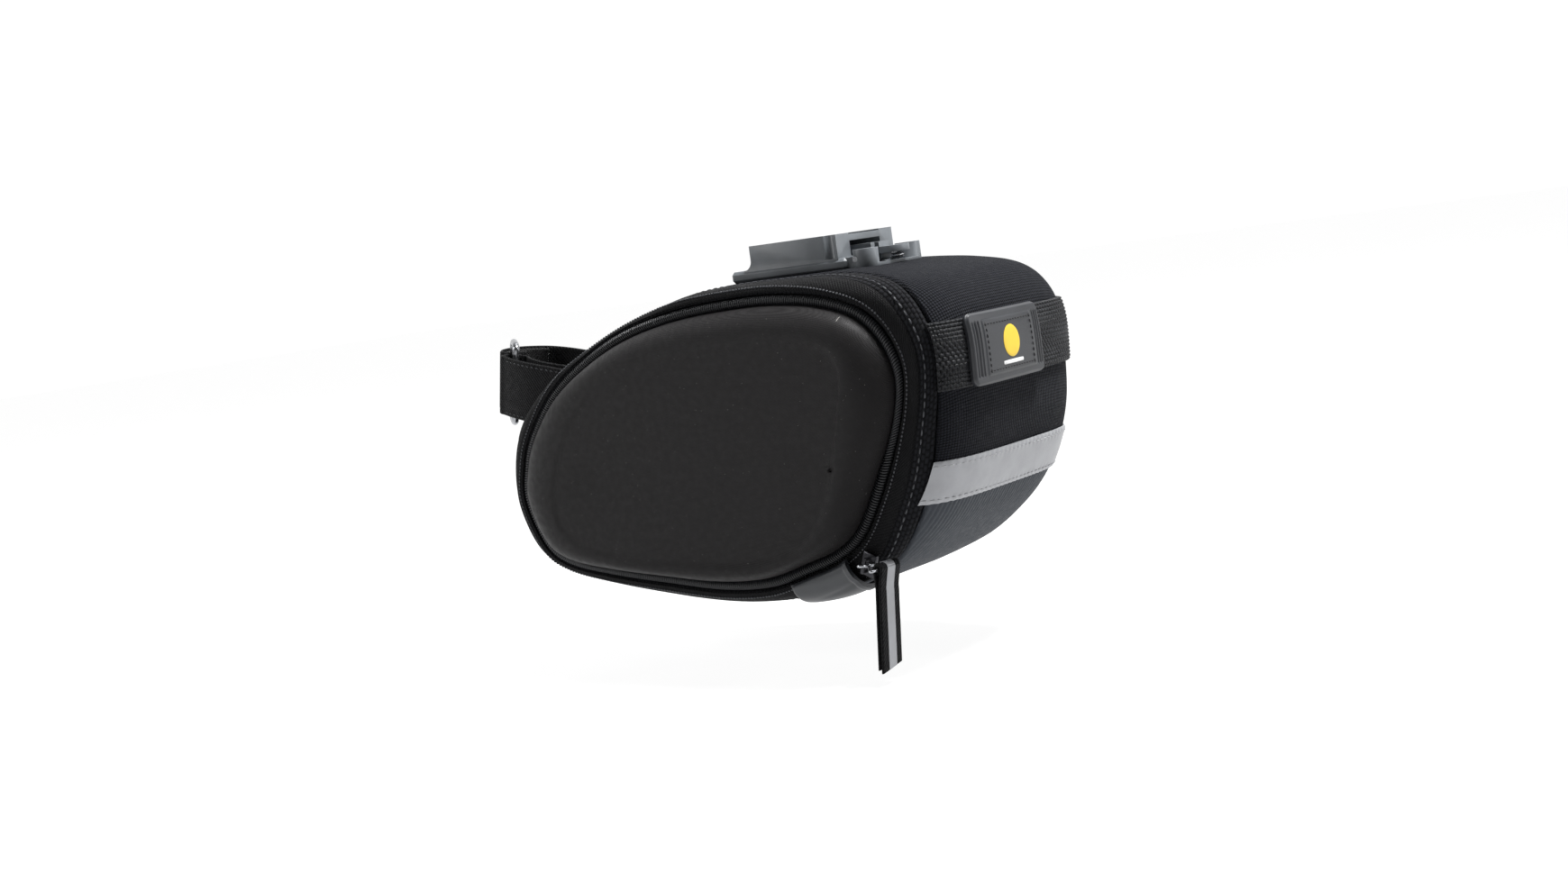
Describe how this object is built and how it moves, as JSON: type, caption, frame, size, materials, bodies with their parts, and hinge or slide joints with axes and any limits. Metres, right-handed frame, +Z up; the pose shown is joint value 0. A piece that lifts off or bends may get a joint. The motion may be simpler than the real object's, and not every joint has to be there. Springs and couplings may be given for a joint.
{
  "type": "saddle bag",
  "caption": "Wedge-shaped bike saddle bag with moulded sides, a zipped side door, a slide-in saddle mount with release lever and a hook-and-loop seat post strap.",
  "frame": {"origin": "middle of the mount's top deck, which slides under the saddle", "axes": "+Z up out of the deck, +X forwards to the seat post along the bag, +Y to the bike's left, where the door is"},
  "size_m": [0.2573, 0.1274, 0.1541],
  "materials": {
    "cordura": "coarse weave",
    "ribbed_fabric": "fine vertical ribs",
    "moulded_eva": "matt knit over moulded foam",
    "webbing": "twill webbing",
    "zip_tape": "woven tape",
    "zip_coil": "nylon coil",
    "reflective": "retro-reflective",
    "rubber": "satin",
    "mount_plastic": "fine texture",
    "bright_steel": "bright plated",
    "pocket_mesh": "open mesh",
    "hook_and_loop": "looped pile"
  },
  "bodies": {
    "bag": {"rear_top_panel": "cordura", "base_panel": "ribbed_fabric", "left_band": "cordura", "right_band": "cordura", "right_shell": "moulded_eva", "right_piping": "zip_tape", "outer_zip_tape": "zip_tape", "bag_coil": "zip_coil", "door_hinge": "zip_tape", "light_loop": "webbing", "rear_badge": "rubber", "reflective_strip": "reflective", "strap_anchor": "webbing", "zip_garage": "rubber", "slide_mount": "mount_plastic", "stiffener_plate": "mount_plastic", "mount_screw_1": "bright_steel", "mount_screw_2": "bright_steel", "mount_screw_3": "bright_steel", "mount_screw_4": "bright_steel", "release_pin": "bright_steel", "release_spring": "bright_steel"},
    "door": {"door_shell": "moulded_eva", "door_zip_tape": "zip_tape", "door_coil": "zip_coil", "mesh_pocket": "pocket_mesh"},
    "slider": {"zip_slider": "bright_steel"},
    "puller": {"zip_puller": "bright_steel"},
    "tab": {"pull_tab": "webbing"},
    "lever": {"release_lever": "mount_plastic"},
    "strap_loop": {"strap_right": "webbing", "strap_left": "webbing", "loop_tape": "hook_and_loop"},
    "tail": {"strap_tail": "webbing", "hook_tape": "hook_and_loop"},
    "ring": {"strap_ring": "bright_steel"}
  },
  "joints": [
    {"name": "door_hinge", "type": "hinge", "parent": "bag", "child": "door", "pos_m": [0.03031, 0.03971, -0.12881], "axis": [-0.9936, 0.1132, 0], "range_deg": [0, 100], "deforming": ["door_hinge"]},
    {"name": "zip_slide", "type": "slide", "parent": "bag", "child": "slider", "axis": [-0.3881, 0.0442, 0.9206], "range_m": [0, 0.036]},
    {"name": "puller_swing", "type": "hinge", "parent": "slider", "child": "puller", "pos_m": [-0.03386, 0.05271, -0.1185], "axis": [0.3881, -0.0442, -0.9206], "range_deg": [0, 70]},
    {"name": "tab_swing", "type": "hinge", "parent": "puller", "child": "tab", "pos_m": [-0.04644, 0.05716, -0.1185], "axis": [0.1132, 0.9936, 0], "range_deg": [-15, 75]},
    {"name": "release_press", "type": "hinge", "parent": "bag", "child": "lever", "pos_m": [-0.0262, 0, -0.0095], "axis": [0, -1, 0], "range_deg": [0, 5], "stiffness_Nm_per_rad": 0.15, "springref_deg": -2.86, "deforming": ["release_spring"]},
    {"name": "strap_sway", "type": "hinge", "parent": "bag", "child": "strap_loop", "pos_m": [0.13, 0, -0.048], "axis": [0.6, 0, 0.8], "range_deg": [-5, 5]},
    {"name": "tail_peel", "type": "hinge", "parent": "strap_loop", "child": "tail", "pos_m": [0.15949, 0.0152, -0.04298], "axis": [0.2079, 0, -0.9781], "range_deg": [0, 110]},
    {"name": "ring_tip", "type": "hinge", "parent": "strap_loop", "child": "ring", "pos_m": [0.16585, 0.002, -0.04163], "axis": [-0.2079, 0, 0.9781], "range_deg": [-5, 5]}
  ]
}
